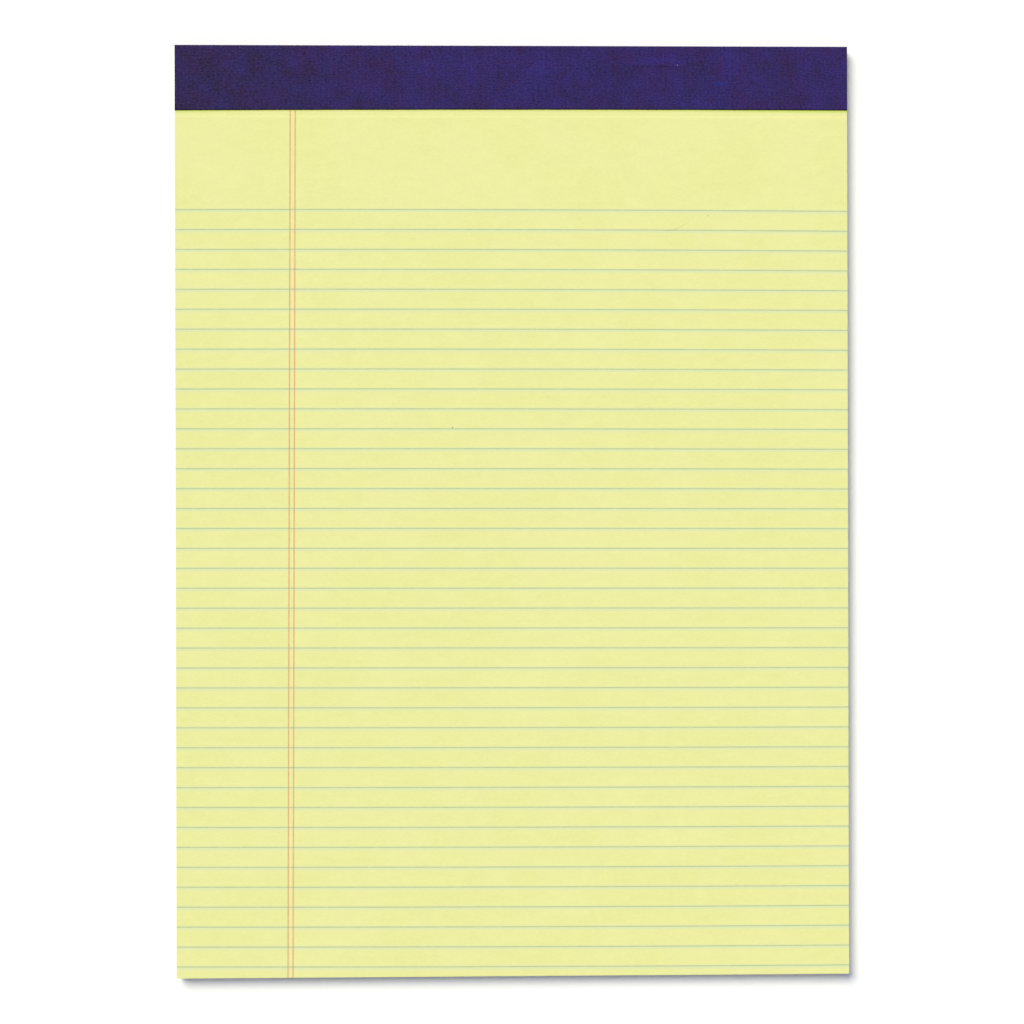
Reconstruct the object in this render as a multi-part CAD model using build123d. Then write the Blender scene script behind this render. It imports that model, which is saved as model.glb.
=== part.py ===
"""A stitched and taped legal pad, letter size, lying on its back.

Fifty perforated sheets and a chipboard back are wire-stitched together near the head. One strip of
binding tape is then glued over the stitches: it covers the front of the head, turns over the top edge
and comes down the back of the board.

Frame, in millimetres: X runs across the pad, +Y towards the head, +Z up out of the first page. The
origin is the centre of the pad's footprint, on the surface that it lies on.
"""

import os

from build123d import *

# ---- Trim size and stack ---------------------------------------------------------------------------
pad_width = 215.9
pad_length = 298.45
sheet_count = 50
sheet_caliper = 0.1
board_thickness = 0.76

# ---- Binding tape ----------------------------------------------------------------------------------
tape_thickness = 0.18
tape_front_width = 20.6
tape_back_width = 19.0
fold_radius = 0.4

# ---- Perforation, a row of short cuts across every sheet ---------------------------------------------
perforation_from_head = 22.2
perforation_pitch = 0.8
perforation_cut = 0.55
perforation_width = 0.05

# ---- Wire stitches ---------------------------------------------------------------------------------
stitch_names = ("left", "right")
stitch_spacing = 92.0
stitch_from_head = 6.3
wire_diameter = 0.5
crown_width = 15.0
bend_inside_radius = 0.35
clinch_length = 5.2
crown_stands_proud = 0.15
wire_clearance = 0.02

# ---- Levels worked out from the sizes above ----------------------------------------------------------
wire_radius = wire_diameter / 2
bend_radius = bend_inside_radius + wire_radius
stack_thickness = sheet_count * sheet_caliper
board_bottom = tape_thickness
board_top = board_bottom + board_thickness
stack_top = board_top + stack_thickness
tail_y = -(pad_length + tape_thickness) / 2
head_y = tail_y + pad_length
stitch_y = head_y - stitch_from_head
leg_x = (crown_width - wire_diameter) / 2
crown_z = stack_top + crown_stands_proud - wire_radius
clinch_z = board_bottom + wire_radius
ridge_radius = wire_radius + wire_clearance + tape_thickness


def slab(bottom, top):
    """A block of the pad's trim size between two heights."""
    middle = (0, tail_y + pad_length / 2, (bottom + top) / 2)
    return Pos(middle) * Box(pad_width, pad_length, top - bottom)


def head_edge(block, level):
    """The edge of a block that the tape folds over, at one height."""
    along_x = block.edges().filter_by(Axis.X)
    return along_x.filter_by(lambda edge: abs(edge.center().Z - level) < 1e-6).sort_by(Axis.Y)[-1:]


def stitch(x, radius, end_gap=0.0):
    """One wire stitch as a round bar: crown on the first page, legs through the pad, ends clinched inwards.

    The crown stands a little proud of the page, and the clinched ends are pressed flush with the board. A
    larger radius and an end_gap give the space that the stitch lies in, or the tape drawn over it.
    """
    reach = leg_x - clinch_length - end_gap
    corners = [
        (x - reach, stitch_y, clinch_z),
        (x - leg_x, stitch_y, clinch_z),
        (x - leg_x, stitch_y, crown_z),
        (x + leg_x, stitch_y, crown_z),
        (x + leg_x, stitch_y, clinch_z),
        (x + reach, stitch_y, clinch_z),
    ]
    centre_line = FilletPolyline(*corners, radius=bend_radius)
    section = Plane(origin=corners[0], z_dir=(-1, 0, 0)) * Circle(radius)
    return sweep(section, path=centre_line)


def stitch_places():
    """The X of each stitch, evenly spaced about the middle of the head."""
    middle = (len(stitch_names) - 1) / 2
    return {name: (i - middle) * stitch_spacing for i, name in enumerate(stitch_names)}


def stitch_spaces():
    """The grooves and holes that the stitches press into the pad and the tape."""
    return [stitch(x, wire_radius + wire_clearance, wire_clearance) for x in stitch_places().values()]


def perforation():
    """The row of cuts, each through the whole stack, that lets a sheet tear off below the tape."""
    tie = perforation_pitch - perforation_cut
    count = int((pad_width - tie) / perforation_pitch)
    cut = Box(perforation_cut, perforation_width, stack_thickness)
    middle = Pos(0, head_y - perforation_from_head, (board_top + stack_top) / 2)
    return [middle * place * cut for place in GridLocations(perforation_pitch, 0, count, 1)]


def make_sheets():
    """The ruled sheets as one block, with their perforation and the holes and grooves of the stitches."""
    block = slab(board_top, stack_top)
    block = fillet(head_edge(block, stack_top), fold_radius)
    return block - (perforation() + stitch_spaces())


def make_backing_board():
    """The chipboard back, with grooves in its underside that the clinched ends lie flush in."""
    board = slab(board_bottom, board_top)
    board = fillet(head_edge(board, board_bottom), fold_radius)
    return board - stitch_spaces()


def crown_ridges():
    """The low ridges where the tape is drawn over the crowns."""
    page = Plane.XY.offset(stack_top)
    return [split(stitch(x, ridge_radius), bisect_by=page, keep=Keep.TOP) for x in stitch_places().values()]


def make_binding_tape():
    """The tape folded over the head: raised over each crown, and flat on the back, where the pad rests."""
    inner_fold = FilletPolyline(
        (0, head_y - tape_front_width, stack_top),
        (0, head_y, stack_top),
        (0, head_y, board_bottom),
        (0, head_y - tape_back_width, board_bottom),
        radius=fold_radius,
    )
    outer_fold = FilletPolyline(
        (0, head_y - tape_front_width, stack_top + tape_thickness),
        (0, head_y + tape_thickness, stack_top + tape_thickness),
        (0, head_y + tape_thickness, board_bottom - tape_thickness),
        (0, head_y - tape_back_width, board_bottom - tape_thickness),
        radius=fold_radius + tape_thickness,
    )
    front_edge = Line(inner_fold @ 0, outer_fold @ 0)
    back_edge = Line(inner_fold @ 1, outer_fold @ 1)
    section = make_face(Wire([*inner_fold.edges(), *outer_fold.edges(), front_edge, back_edge]))
    strip = extrude(section, amount=pad_width / 2, dir=(1, 0, 0), both=True)
    return strip + crown_ridges() - stitch_spaces()


def main():
    """Builds every piece and writes each one to parts/ under its own name."""
    pieces = {
        "sheets": make_sheets(),
        "backing_board": make_backing_board(),
        "binding_tape": make_binding_tape(),
    }
    for name, x in stitch_places().items():
        pieces[f"stitch_{name}"] = stitch(x, wire_radius)
    os.makedirs("parts", exist_ok=True)
    for name, piece in pieces.items():
        export_step(piece, f"parts/{name}.step")


main()
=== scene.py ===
"""The looks of a letter-size legal pad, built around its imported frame.

The pad lies on its back: +X runs across the page, +Y towards the bound head and +Z up out of the page. Fifty
sheets lie on a chipboard back, and a strip of dark violet tape covers the head and its wire stitches. The
first sheet carries blue rules and a double red margin, printed slightly out of square with the trim.

Each sub-assembly below is a class that reads its places from the frame, builds its meshes and dresses them.
Lengths are in metres, and a size that is easier to read in millimetres is multiplied by MM.
"""

from __future__ import annotations

import logging
import math
from collections.abc import Callable
from dataclasses import dataclass
from enum import Enum
from typing import Any

import bpy
import numpy as np
from mathutils import Matrix, Vector

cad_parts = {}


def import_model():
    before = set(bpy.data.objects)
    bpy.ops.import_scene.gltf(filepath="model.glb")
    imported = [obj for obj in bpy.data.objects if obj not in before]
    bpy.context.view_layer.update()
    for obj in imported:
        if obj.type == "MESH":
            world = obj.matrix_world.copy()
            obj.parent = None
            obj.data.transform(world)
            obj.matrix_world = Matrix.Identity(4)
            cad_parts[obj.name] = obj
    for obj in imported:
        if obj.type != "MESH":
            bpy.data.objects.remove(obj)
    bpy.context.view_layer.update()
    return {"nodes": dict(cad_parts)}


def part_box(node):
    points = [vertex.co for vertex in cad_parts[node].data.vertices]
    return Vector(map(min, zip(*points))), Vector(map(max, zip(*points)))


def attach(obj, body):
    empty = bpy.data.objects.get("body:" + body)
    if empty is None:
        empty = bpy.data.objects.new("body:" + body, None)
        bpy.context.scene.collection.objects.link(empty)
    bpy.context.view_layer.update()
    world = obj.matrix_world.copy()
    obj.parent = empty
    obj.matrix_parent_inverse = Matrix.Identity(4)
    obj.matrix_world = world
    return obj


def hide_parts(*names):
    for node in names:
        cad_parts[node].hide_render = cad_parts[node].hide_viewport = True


LOG = logging.getLogger("legal_pad")
MM = 0.001
BODY = "root"
BAKE_MAP = "OFBake"
FLAT_PLACE = "laid_flat"
MARK_DEPTH = 9 * MM

Numbers = np.ndarray
Colour = tuple[float, float, float]
Triple = tuple[float, float, float]
Sockets = dict[str, list[str]]
Mesh = bpy.types.Mesh
Piece = bpy.types.Object
Tree = bpy.types.NodeTree
Material = bpy.types.Material


class Slot(Enum):
    """The record's material slots, which no new piece here uses."""

    PAPER = "canary_paper"
    BOARD = "chipboard"
    TAPE = "tape"


class Face(Enum):
    """Which broad side of a thin piece is the one that shows."""

    UPPER = 1
    UNDER = -1


# ---- The frame ----


@dataclass(frozen=True)
class Stitch:
    """One wire stitch of the frame, and where it lies under the tape."""

    piece: Piece
    left: float
    right: float
    y: float


@dataclass(frozen=True)
class PadFrame:
    """The pad's edges and levels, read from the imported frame."""

    left: float
    right: float
    tail: float
    head: float
    board_bottom: float
    board_top: float
    page: float
    tape_front: float
    tape_thickness: float
    stitches: tuple[Stitch, ...]
    fold_radius: float = 0.4 * MM

    @classmethod
    def read(cls, nodes: dict[str, Piece]) -> PadFrame:
        """Reads the places from the frame's nodes.

        Args:
            nodes: The frame's objects, by name.

        Returns:
            The places, in metres.
        """
        sheets_low, sheets_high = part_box("sheets")
        board_low, board_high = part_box("backing_board")
        tape_low, tape_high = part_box("binding_tape")
        stitches = []
        for node in sorted(name for name in nodes if name.startswith("stitch_")):
            low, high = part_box(node)
            stitches.append(Stitch(nodes[node], low.x, high.x, (low.y + high.y) / 2))
        return cls(
            left=sheets_low.x,
            right=sheets_high.x,
            tail=sheets_low.y,
            head=sheets_high.y,
            board_bottom=board_low.z,
            board_top=board_high.z,
            page=sheets_high.z,
            tape_front=sheets_high.y - tape_low.y,
            tape_thickness=tape_high.y - sheets_high.y,
            stitches=tuple(stitches),
        )

    @property
    def width(self) -> float:
        """The trim width."""
        return self.right - self.left

    @property
    def length(self) -> float:
        """The trim length."""
        return self.head - self.tail

    @property
    def tape_edge(self) -> float:
        """The Y of the tape's edge on the first page."""
        return self.head - self.tape_front

    def share_across(self, x: Numbers) -> Numbers:
        """How far across the pad each X is, from 0 at the left to 1 at the right."""
        return (x - self.left) / self.width

    def fold_drop(self, y: Numbers) -> Numbers:
        """How far the folded tape has turned away from a broad side of the pad, at each Y near the head."""
        aside = np.clip(y - (self.head - self.fold_radius), 0, self.fold_radius)
        return self.fold_radius - np.sqrt(self.fold_radius**2 - aside**2)

    def fold_reach(self, z: Numbers) -> Numbers:
        """The Y that the sheets at each height reach, inside the fold of the tape."""
        above = np.clip(z - (self.page - self.fold_radius), 0, self.fold_radius)
        return self.head - self.fold_radius + np.sqrt(self.fold_radius**2 - above**2)


def hand_over(piece: Piece, node: str | None = None) -> Piece:
    """Makes the calls that a finished piece needs.

    Args:
        piece: The piece.
        node: The frame's node that it stands for, if it stands for one.

    Returns:
        The piece.
    """
    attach(piece, BODY)
    if node:
        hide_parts(node)
    return piece


# ---- Small tools for shapes ----


def waves(x: Numbers, y: Numbers, pitch: float, seed: int, terms: int = 7) -> Numbers:
    """A smooth random surface from -1 to 1, the same one each time.

    Args:
        x: Places across, in metres.
        y: Places along, in metres.
        pitch: The length of the usual wave, in metres.
        seed: Which surface.
        terms: How many waves it is made of.

    Returns:
        The surface's height at each place.
    """
    random = np.random.default_rng(seed)
    height = np.zeros(np.broadcast(x, y).shape)
    for _ in range(terms):
        heading, phase = random.uniform(0, math.tau, 2)
        rate = math.tau / (pitch * random.uniform(0.6, 1.7))
        height += np.sin(rate * (x * math.cos(heading) + y * math.sin(heading)) + phase)
    return height / terms


def smooth_step(value: Numbers, low: float, high: float) -> Numbers:
    """0 below low, 1 above high, and a smooth rise between."""
    share = np.clip((value - low) / (high - low), 0, 1)
    return share * share * (3 - 2 * share)


def hump(value: Numbers, centre: float, reach: float) -> Numbers:
    """A smooth hump of height 1 at a centre, which has died away at about twice its reach."""
    return np.exp(-(((value - centre) / reach) ** 2))


def between(share: Numbers, start: float, end: float) -> Numbers:
    """The place at a share of the way from a start to an end."""
    return start + (end - start) * share


# ---- Small tools for meshes ----


def object_of(name: str, mesh: Mesh) -> Piece:
    """Puts a mesh in the scene as an object of that name, at the origin."""
    piece = bpy.data.objects.new(name, mesh)
    bpy.context.scene.collection.objects.link(piece)
    return piece


def new_object(name: str, vertices: Numbers, faces: Numbers) -> Piece:
    """Makes a mesh object in the scene from rows of X, Y and Z, and rows of vertex numbers."""
    mesh = bpy.data.meshes.new(name)
    mesh.from_pydata(vertices.tolist(), [], faces.tolist())
    return object_of(name, mesh)


def dress(piece: Piece, material: Material, sharp_angle: float = 40.0) -> None:
    """Gives a piece its finish, and shades it smooth apart from edges sharper than an angle in degrees."""
    piece.data.materials.append(material)
    soften(piece.data, sharp_angle)


def soften(mesh: Mesh, sharp_angle: float = 40.0) -> None:
    """Shades a mesh smooth, apart from edges sharper than an angle in degrees."""
    mesh.shade_smooth()
    mesh.set_sharp_from_angle(angle=math.radians(sharp_angle))


def read_all(items: Any, name: str, width: int = 1) -> Numbers:
    """One property of each item of a mesh: a whole number, or a row of numbers where width is more than 1."""
    values = np.empty(len(items) * width, np.int32 if width == 1 else float)
    items.foreach_get(name, values)
    return values if width == 1 else values.reshape(-1, width)


def places_of(mesh: Mesh) -> Numbers:
    """One row of X, Y and Z for each vertex of a mesh."""
    return read_all(mesh.vertices, "co", 3)


def move_vertices(mesh: Mesh, places: Numbers) -> None:
    """Moves the vertices of a mesh to new places."""
    mesh.vertices.foreach_set("co", places.ravel())
    mesh.update()


def grid_faces(columns: int, rows: int) -> Numbers:
    """Quads over a grid whose vertices are numbered column by column, facing up for rising X and Y."""
    index = np.arange(columns * rows).reshape(columns, rows)
    return np.stack((index[:-1, :-1], index[1:, :-1], index[1:, 1:], index[:-1, 1:]), axis=-1)


def closed_skin(outer: Numbers, inner: Numbers, solid: Numbers | None = None) -> tuple[Numbers, Numbers]:
    """Joins two grids of the same shape into one closed skin, with walls round the rim and round any opening.

    Args:
        outer: The places of the side that faces out, as columns, rows and X, Y, Z.
        inner: The places of the side that faces in.
        solid: Which cells of the grid are there, or None for all of them.

    Returns:
        The vertices and the faces.
    """
    cells = grid_faces(*outer.shape[:2])
    broad = cells.reshape(-1, 4) if solid is None else cells[solid]
    count = outer.size // 3
    here, after = broad.ravel(), np.roll(broad, -1, axis=1).ravel()
    rim = ~np.isin(here * count + after, after * count + here)
    here, after = here[rim], after[rim]
    walls = np.stack([after, here, here + count, after + count], axis=-1)
    vertices = np.concatenate([outer.reshape(-1, 3), inner.reshape(-1, 3)])
    return vertices, np.concatenate([broad, broad[:, ::-1] + count, walls])


def closed_tube(rings: Numbers, first_tip: Numbers, last_tip: Numbers) -> tuple[Numbers, Numbers]:
    """Joins a row of rings into one closed skin of triangles, drawn in to a point at each end.

    Args:
        rings: The places, as rings, points and X, Y, Z. Each ring turns anticlockwise, seen from the last.
        first_tip: The point before the first ring.
        last_tip: The point after the last ring.

    Returns:
        The vertices and the faces.
    """
    count, points = rings.shape[:2]
    index = np.arange(count * points).reshape(count, points)
    after = np.roll(index, -1, axis=1)
    first, last = np.full(points, count * points), np.full(points, count * points + 1)
    corners = [
        (index[:-1], after[:-1], after[1:]),
        (index[:-1], after[1:], index[1:]),
        (first, after[0], index[0]),
        (last, index[-1], after[-1]),
    ]
    faces = [np.stack(corner, axis=-1).reshape(-1, 3) for corner in corners]
    return np.concatenate([rings.reshape(-1, 3), [first_tip, last_tip]]), np.concatenate(faces)


class Corners:
    """The face corners of a mesh: their vertices, their faces, their places in its box and how they face."""

    def __init__(self, mesh: Mesh) -> None:
        """Reads a mesh."""
        self.mesh = mesh
        self.places = places_of(mesh)
        self.vertex = read_all(mesh.loops, "vertex_index")
        sizes = read_all(mesh.polygons, "loop_total")
        self.face = np.repeat(np.arange(len(sizes)), sizes)
        self.share = ((self.places - self.places.min(axis=0)) / np.ptp(self.places, axis=0))[self.vertex]
        self.facing = read_all(mesh.polygons, "normal", 3)[self.face]
        self.broad = np.abs(self.facing[:, 2]) > 0.5
        self.sideways = np.abs(self.facing[:, 0]) > np.abs(self.facing[:, 1])

    def lay_map(self, across: Numbers, up: Numbers) -> None:
        """Gives the mesh the map that its finish is baked through: each corner's place on it, from 0 to 1."""
        layer = self.mesh.uv_layers.new(name=BAKE_MAP)
        layer.uv.foreach_set("vector", np.stack([across, up], axis=-1).ravel())


def slab_map(mesh: Mesh, seen: Face) -> None:
    """Maps a thin slab: the side that shows takes most of the map, and the rest has strips beside it.

    Args:
        mesh: The slab's mesh.
        seen: The side that shows.
    """
    at = Corners(mesh)
    x, y, z = at.share.T
    hidden = at.facing[:, 2] * seen.value < 0
    broad_across = np.where(hidden, between(x, 0.945, 0.955), between(x, 0.0, 0.94))
    edge_up = np.where(at.sideways, between(y, 0.51, 0.99), between(x, 0.01, 0.49))
    across = np.where(at.broad, broad_across, between(z, 0.965, 0.995))
    at.lay_map(across, np.where(at.broad, y, edge_up))


def band_map(mesh: Mesh, band: Numbers, count: int, along: int) -> None:
    """Maps a row of bars, one band of the map for each: its broad sides below, its thin sides above.

    Args:
        mesh: The mesh of all the bars.
        band: Each vertex's bar, counted from 0.
        count: How many bars there are.
        along: The axis that the bars run along, 0 for X or 1 for Y.
    """
    at = Corners(mesh)
    across, height = at.places[:, 1 - along], at.places[:, 2]
    middle = np.array([across[band == i].mean() for i in range(count)])
    farther = (across > middle[band])[at.vertex]
    higher = (height > height.mean())[at.vertex]
    within = np.where(at.broad, between(farther, 0.08, 0.64), between(higher, 0.72, 0.92))
    at.lay_map(between(at.share[:, along], 0.002, 0.998), (band[at.vertex] + within) / count)


# ---- Small tools for node trees ----


def sum_of(operation: str) -> Callable[[Value, Any], Value]:
    """The operator that does one sum on a value and another."""
    return lambda value, other: value.graph.math(operation, value, other)


@dataclass(frozen=True)
class Value:
    """What a node puts out, with the sums that other nodes do on it."""

    graph: Graph
    socket: bpy.types.NodeSocket

    @property
    def is_vector(self) -> bool:
        """Whether it is a vector or a colour, and not one number."""
        return self.socket.type in {"VECTOR", "RGBA"}

    def __rsub__(self, other: Any) -> Value:
        """Another value less this one."""
        return self.graph.math("SUBTRACT", other, self)

    __add__ = sum_of("ADD")
    __sub__ = sum_of("SUBTRACT")
    __mul__ = sum_of("MULTIPLY")
    __truediv__ = sum_of("DIVIDE")


@dataclass(frozen=True)
class Made:
    """A node that a graph has made. Its outputs are values, by name or number."""

    graph: Graph
    node: bpy.types.Node

    def __getitem__(self, key: str | int) -> Value:
        """One output."""
        return Value(self.graph, self.node.outputs[key])


class Graph:
    """Adds nodes to a node tree and links them."""

    def __init__(self, tree: Tree) -> None:
        """Starts on a tree."""
        self.tree = tree

    def add(self, kind: str, inputs: dict[str | int, Any] | None = None, **settings: Any) -> Made:
        """Adds a node.

        Args:
            kind: The node's type.
            inputs: For each input, by name or number, the value that feeds it.
            **settings: The node's own properties.

        Returns:
            The node.
        """
        node = self.tree.nodes.new(kind)
        for name, setting in settings.items():
            setattr(node, name, setting)
        self.feed(node, inputs or {})
        return Made(self, node)

    def feed(self, node: bpy.types.Node, inputs: dict[str | int, Any]) -> None:
        """Links values to a node's inputs, or sets an input that gets a plain number, vector or colour.

        Args:
            node: The node.
            inputs: For each input, by name or number, what it gets.
        """
        for key, value in inputs.items():
            if isinstance(value, Value):
                self.tree.links.new(value.socket, node.inputs[key])
            else:
                node.inputs[key].default_value = value

    def math(self, operation: str, *values: Any) -> Value:
        """The result of a sum, which is done on vectors where any of the values is a vector or a colour.

        Args:
            operation: The sum.
            *values: What it is done on. A plain number stands for a vector of three where that is needed.

        Returns:
            The result.
        """
        if not any(isinstance(value, tuple) or getattr(value, "is_vector", False) for value in values):
            return self.add("ShaderNodeMath", dict(enumerate(values)), operation=operation)[0]
        triples = [(value,) * 3 if isinstance(value, float) else value for value in values]
        return self.add("ShaderNodeVectorMath", dict(enumerate(triples)), operation=operation)[0]

    def mixed(self, share: Any, first: Any, second: Any, **settings: Any) -> Value:
        """A colour between two colours, at a share of the way."""
        return self.add("ShaderNodeMix", {0: share, 6: first, 7: second}, data_type="RGBA", **settings)[2]

    def tinted(self, colour: Any, tone: Value) -> Value:
        """A colour made lighter or darker by a tone, which is 1 where it stays as it is."""
        return self.mixed(1.0, colour, self.joined(tone, tone, tone), blend_type="MULTIPLY")

    def ramp(self, value: Value, low: Any, high: float, start: float = 0.0, end: float = 1.0) -> Value:
        """A value brought smoothly from one range to another."""
        inputs = {"Value": value, "From Min": low, "From Max": high, "To Min": start, "To Max": end}
        return self.add("ShaderNodeMapRange", inputs, interpolation_type="SMOOTHSTEP")[0]

    def noise(self, place: Value, scale: Any = 1.0, detail: float = 2.0, roughness: float = 0.5) -> Made:
        """A noise, as one number in its first output and as three in its Color."""
        inputs = {"Vector": place, "Scale": scale, "Detail": detail, "Roughness": roughness}
        return self.add("ShaderNodeTexNoise", inputs)

    def joined(self, x: Any = 0.0, y: Any = 0.0, z: Any = 0.0) -> Value:
        """A vector of three numbers."""
        return self.add("ShaderNodeCombineXYZ", {0: x, 1: y, 2: z})[0]

    def parts(self, vector: Value) -> Made:
        """The X, Y and Z of a vector."""
        return self.add("ShaderNodeSeparateXYZ", {0: vector})

    def own_place(self) -> Value:
        """The place on the piece, in its own coordinates."""
        return self.add("ShaderNodeTexCoord")["Object"]

    def effect(self, tree: Tree, values: dict[str, Any]) -> Made:
        """Adds a shared effect, on the piece's own coordinates unless its values name others.

        Args:
            tree: The effect.
            values: For each of its inputs, by name, the value that feeds it.

        Returns:
            The effect's node.
        """
        made = self.add("ShaderNodeGroup", {}, node_tree=tree)
        if "Vector" in made.node.inputs and "Vector" not in values:
            values = {"Vector": self.own_place(), **values}
        self.feed(made.node, values)
        return made


class Group(Graph):
    """A node group, with what it is given and what it puts out."""

    def __init__(self, name: str, inputs: Sockets, outputs: Sockets, kind: str = "Shader") -> None:
        """Starts a group.

        Args:
            name: The group's name.
            inputs: For each type of input, the inputs' names.
            outputs: For each type of output, the outputs' names.
            kind: Shader or Geometry.
        """
        super().__init__(bpy.data.node_groups.new(name, f"{kind}NodeTree"))
        for in_out, sockets in (("INPUT", inputs), ("OUTPUT", outputs)):
            for sort, labels in sockets.items():
                for label in labels:
                    self.tree.interface.new_socket(name=label, in_out=in_out, socket_type=f"NodeSocket{sort}")
        self.given = self.add("NodeGroupInput")

    def put_out(self, **results: Value) -> Tree:
        """Links the group's outputs, each named with a small letter here, and returns the finished tree."""
        self.add("NodeGroupOutput", {name.capitalize(): value for name, value in results.items()})
        return self.tree


def grain_group() -> Tree:
    """The grain of paper, board and wire: fibres or lines at one scale, with clumps several times larger."""
    inputs = {"Vector": ["Vector", "Stretch"], "Float": ["Scale", "Contrast"]}
    group = Group("grain", inputs, {"Float": ["Height", "Tone"]})
    given = group.given
    place = given["Vector"] * given["Stretch"]
    fine = group.noise(place, given["Scale"], detail=3.0, roughness=0.6)[0]
    clumps = group.noise(place, given["Scale"] * 0.22)[0]
    height = fine * 0.65 + clumps * 0.35
    return group.put_out(height=height, tone=(height - 0.5) * given["Contrast"] + 1.0)


def mottle_group() -> Tree:
    """Broad, soft patches, such as the cloudiness of paper or board."""
    inputs = {"Vector": ["Vector"], "Float": ["Scale", "Contrast"]}
    group = Group("mottle", inputs, {"Float": ["Mask", "Tone"]})
    given = group.given
    cloud = group.noise(given["Vector"], given["Scale"], detail=2.5)[0]
    return group.put_out(mask=group.ramp(cloud, 0.36, 0.64), tone=(cloud - 0.5) * given["Contrast"] + 1.0)


def weave_group() -> Tree:
    """A fine, irregular weave: threads both ways, each fading in and out, under a streaky fuzz."""
    group = Group("weave", {"Vector": ["Vector", "Pitch"], "Float": ["Wander"]}, {"Float": ["Height"]})
    place = group.given["Vector"] / group.given["Pitch"]
    drift = group.noise(place, 0.4)["Color"] - 0.5
    strength = group.noise(place, 0.9, detail=1.0)["Color"]
    fuzz = group.noise(place * (1.5, 2.1, 1.0), detail=2.5, roughness=0.65)[0]
    turns = (place + drift * group.given["Wander"]) * (math.tau, math.tau, 0.0)
    threads = group.parts(group.math("SINE", turns) * strength)
    return group.put_out(height=(fuzz - 0.5) * 1.8 + (threads["X"] + threads["Y"]) * 0.09 + 0.5)


def spot_group() -> Tree:
    """One mark of a given size at a given place, with full cover over its core and a ragged fade round it."""
    inputs = {"Vector": ["Vector", "Centre", "Reach"], "Float": ["Core", "Ragged"]}
    group = Group("spot", inputs, {"Float": ["Mask"]})
    given = group.given
    offset = (given["Vector"] - given["Centre"]) / given["Reach"]
    distance = group.add("ShaderNodeVectorMath", {0: offset}, operation="LENGTH")["Value"]
    noise = group.noise(given["Vector"], 1.6 / MM)[0]
    edge = distance + (noise - 0.5) * given["Ragged"]
    return group.put_out(mask=group.ramp(edge, given["Core"], 1.1, 1.0, 0.0))


def line_bleed_group() -> Tree:
    """The soft stain beside ruled lines, which lean and bow by more or less from the first to the last."""
    names = ["Along", "Across", "Pitch", "Lean", "Fan", "Bow", "Swell", "Last", "Before", "After"]
    group = Group("line_bleed", {"Float": names}, {"Float": ["Mask"]})
    given = group.given
    along = given["Along"]
    across = given["Across"] - along * (along * given["Bow"] + given["Lean"])
    pitch = along * (along * given["Swell"] + given["Fan"]) + given["Pitch"]
    nearest = group.math("ROUND", across / pitch)
    line = group.math("MAXIMUM", group.math("MINIMUM", nearest, given["Last"]), 0.0)
    offset = across - line * pitch
    share = group.math("MAXIMUM", offset * -1.0 / given["Before"], offset / given["After"])
    return group.put_out(mask=group.ramp(share, 0.0, 1.0, 1.0, 0.0))


def paper_group(grain: Tree, mottle: Tree) -> Tree:
    """Dyed paper: cloudy dye under a fibrous grain.

    Args:
        grain: The grain effect.
        mottle: The mottle effect.

    Returns:
        The paper effect.
    """
    inputs = {
        "Vector": ["Vector"],
        "Color": ["Colour", "Cloud Colour"],
        "Float": ["Cloud Scale", "Fibre Scale", "Fibre Contrast"],
    }
    group = Group("paper", inputs, {"Color": ["Colour"], "Float": ["Height"]})
    given, place = group.given, {"Vector": group.given["Vector"]}
    clouds = group.effect(mottle, {**place, "Scale": given["Cloud Scale"], "Contrast": 0.045})
    fibrous = {"Stretch": (0.5, 1.0, 1.0), "Scale": given["Fibre Scale"], "Contrast": given["Fibre Contrast"]}
    fibres = group.effect(grain, {**place, **fibrous})
    colour = group.mixed(clouds["Mask"], given["Colour"], given["Cloud Colour"])
    colour = group.tinted(group.tinted(colour, clouds["Tone"]), fibres["Tone"])
    return group.put_out(colour=colour, height=fibres["Height"])


class Effects:
    """The effects that several finishes share, each one a node group that is built once."""

    def __init__(self) -> None:
        """Builds the groups."""
        self.grain = grain_group()
        self.mottle = mottle_group()
        self.spot = spot_group()
        self.weave = weave_group()
        self.line_bleed = line_bleed_group()
        self.paper = paper_group(self.grain, self.mottle)


def opaque(colour: Colour) -> tuple[float, float, float, float]:
    """A colour with full cover."""
    return (*colour, 1.0)


# ---- Finishes ----


class Surface(Graph):
    """The nodes of one material, with its shader and the shared effects."""

    def __init__(self, name: str, effects: Effects) -> None:
        """Starts a material.

        Args:
            name: The material's name.
            effects: The effects it can be built from.
        """
        self.material = bpy.data.materials.new(name)
        self.material.use_nodes = True
        super().__init__(self.material.node_tree)
        self.effects = effects
        self.shader = self.tree.nodes["Principled BSDF"]

    def grain(self, scale: float, contrast: float, stretch: Triple = (1.0, 1.0, 1.0)) -> Made:
        """The grain effect, stretched along any axis whose factor is below 1."""
        values = {"Stretch": stretch, "Scale": scale, "Contrast": contrast}
        return self.effect(self.effects.grain, values)

    def fine_bump(self, height: Value, depth: float) -> Value:
        """The normal of a surface whose height runs from 0 to a small depth."""
        return self.add("ShaderNodeBump", {"Height": height, "Distance": depth})[0]


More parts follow.
